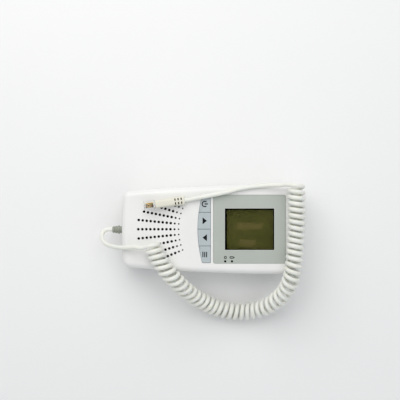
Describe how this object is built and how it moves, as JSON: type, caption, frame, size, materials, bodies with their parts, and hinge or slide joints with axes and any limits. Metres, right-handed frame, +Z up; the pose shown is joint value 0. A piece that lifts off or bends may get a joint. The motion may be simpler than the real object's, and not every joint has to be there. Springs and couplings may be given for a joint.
{
  "type": "fetal doppler monitor",
  "caption": "Hand-held fetal heart monitor: white housing with display, key strip and speaker grille, and a curly cord ending in a modular plug.",
  "frame": {"origin": "middle of the housing's footprint, on the surface that the feet stand on", "axes": "+X from the speaker end to the display end, +Y across the housing towards the power key, +Z up out of the front face"},
  "size_m": [0.1645, 0.112, 0.0482],
  "materials": {
    "white_plastic": "satin white ABS with a fine moulded grain",
    "grey_plastic": "satin grey-green painted plastic",
    "key_plastic": "satin blue-grey plastic",
    "ivory_vinyl": "satin ivory PVC",
    "relief_vinyl": "satin grey-green PVC",
    "clear_plastic": "clear polycarbonate",
    "window": "clear acrylic",
    "lcd": "dark olive liquid crystal panel",
    "black_plastic": "matt black plastic",
    "silicone": "matt grey silicone",
    "board": "green solder mask",
    "steel": "plain steel",
    "gold": "gold-plated contacts",
    "paper": "black speaker paper",
    "foam": "black foam",
    "foot_rubber": "dark grey rubber",
    "cell_wrap": "printed film on a steel can"
  },
  "bodies": {
    "main_unit": {"front_cover": "white_plastic", "rear_cover": "white_plastic", "display_bezel": "grey_plastic", "cord_lead": "ivory_vinyl", "cord_curl": "ivory_vinyl", "cord_tail": "ivory_vinyl", "inner_lead": "ivory_vinyl", "plug_boot": "ivory_vinyl", "lead_header": "ivory_vinyl", "cord_relief": "relief_vinyl", "plug_body": "clear_plastic", "power_light_guide": "clear_plastic", "charge_light_guide": "clear_plastic", "display_window": "window", "lcd_panel": "lcd", "lcd_holder": "black_plastic", "board_link": "black_plastic", "processor_chip": "black_plastic", "amplifier_chip": "black_plastic", "headphone_socket": "black_plastic", "charging_socket": "black_plastic", "key_mat": "silicone", "lcd_connector": "silicone", "main_board": "board", "key_board": "board", "speaker_basket": "steel", "speaker_magnet": "steel", "crystal_can": "steel", "battery_contact_inner": "steel", "battery_contact_outer": "steel", "housing_screw_1": "steel", "housing_screw_2": "steel", "housing_screw_3": "steel", "housing_screw_4": "steel", "board_screw_1": "steel", "board_screw_2": "steel", "board_screw_3": "steel", "board_screw_4": "steel", "key_board_screw_1": "steel", "key_board_screw_2": "steel", "plug_contacts": "gold", "speaker_cone": "paper", "speaker_gasket": "foam", "foot_1": "foot_rubber", "foot_2": "foot_rubber", "foot_3": "foot_rubber", "foot_4": "foot_rubber", "battery_cell_1": "cell_wrap", "battery_cell_2": "cell_wrap"},
    "battery_door": {"battery_door": "white_plastic"},
    "key_power": {"key_power": "key_plastic"},
    "key_up": {"key_up": "key_plastic"},
    "key_down": {"key_down": "key_plastic"},
    "key_menu": {"key_menu": "key_plastic"},
    "plug_latch": {"plug_latch": "clear_plastic"}
  },
  "joints": [
    {"name": "battery_door_slide", "type": "slide", "parent": "main_unit", "child": "battery_door", "axis": [1, 0, 0], "range_m": [0, 0.062]},
    {"name": "key_power_press", "type": "slide", "parent": "main_unit", "child": "key_power", "axis": [0, 0, -1], "range_m": [0, 0.0008], "stiffness_N_per_m": 1000},
    {"name": "key_up_press", "type": "slide", "parent": "main_unit", "child": "key_up", "axis": [0, 0, -1], "range_m": [0, 0.0008], "stiffness_N_per_m": 1000},
    {"name": "key_down_press", "type": "slide", "parent": "main_unit", "child": "key_down", "axis": [0, 0, -1], "range_m": [0, 0.0008], "stiffness_N_per_m": 1000},
    {"name": "key_menu_press", "type": "slide", "parent": "main_unit", "child": "key_menu", "axis": [0, 0, -1], "range_m": [0, 0.0008], "stiffness_N_per_m": 1000},
    {"name": "plug_latch_press", "type": "hinge", "parent": "main_unit", "child": "plug_latch", "pos_m": [-0.05366, 0.01868, 0.03803], "axis": [0.1426, -0.9898, 0], "range_deg": [0, 8], "stiffness_Nm_per_rad": 0.02}
  ]
}
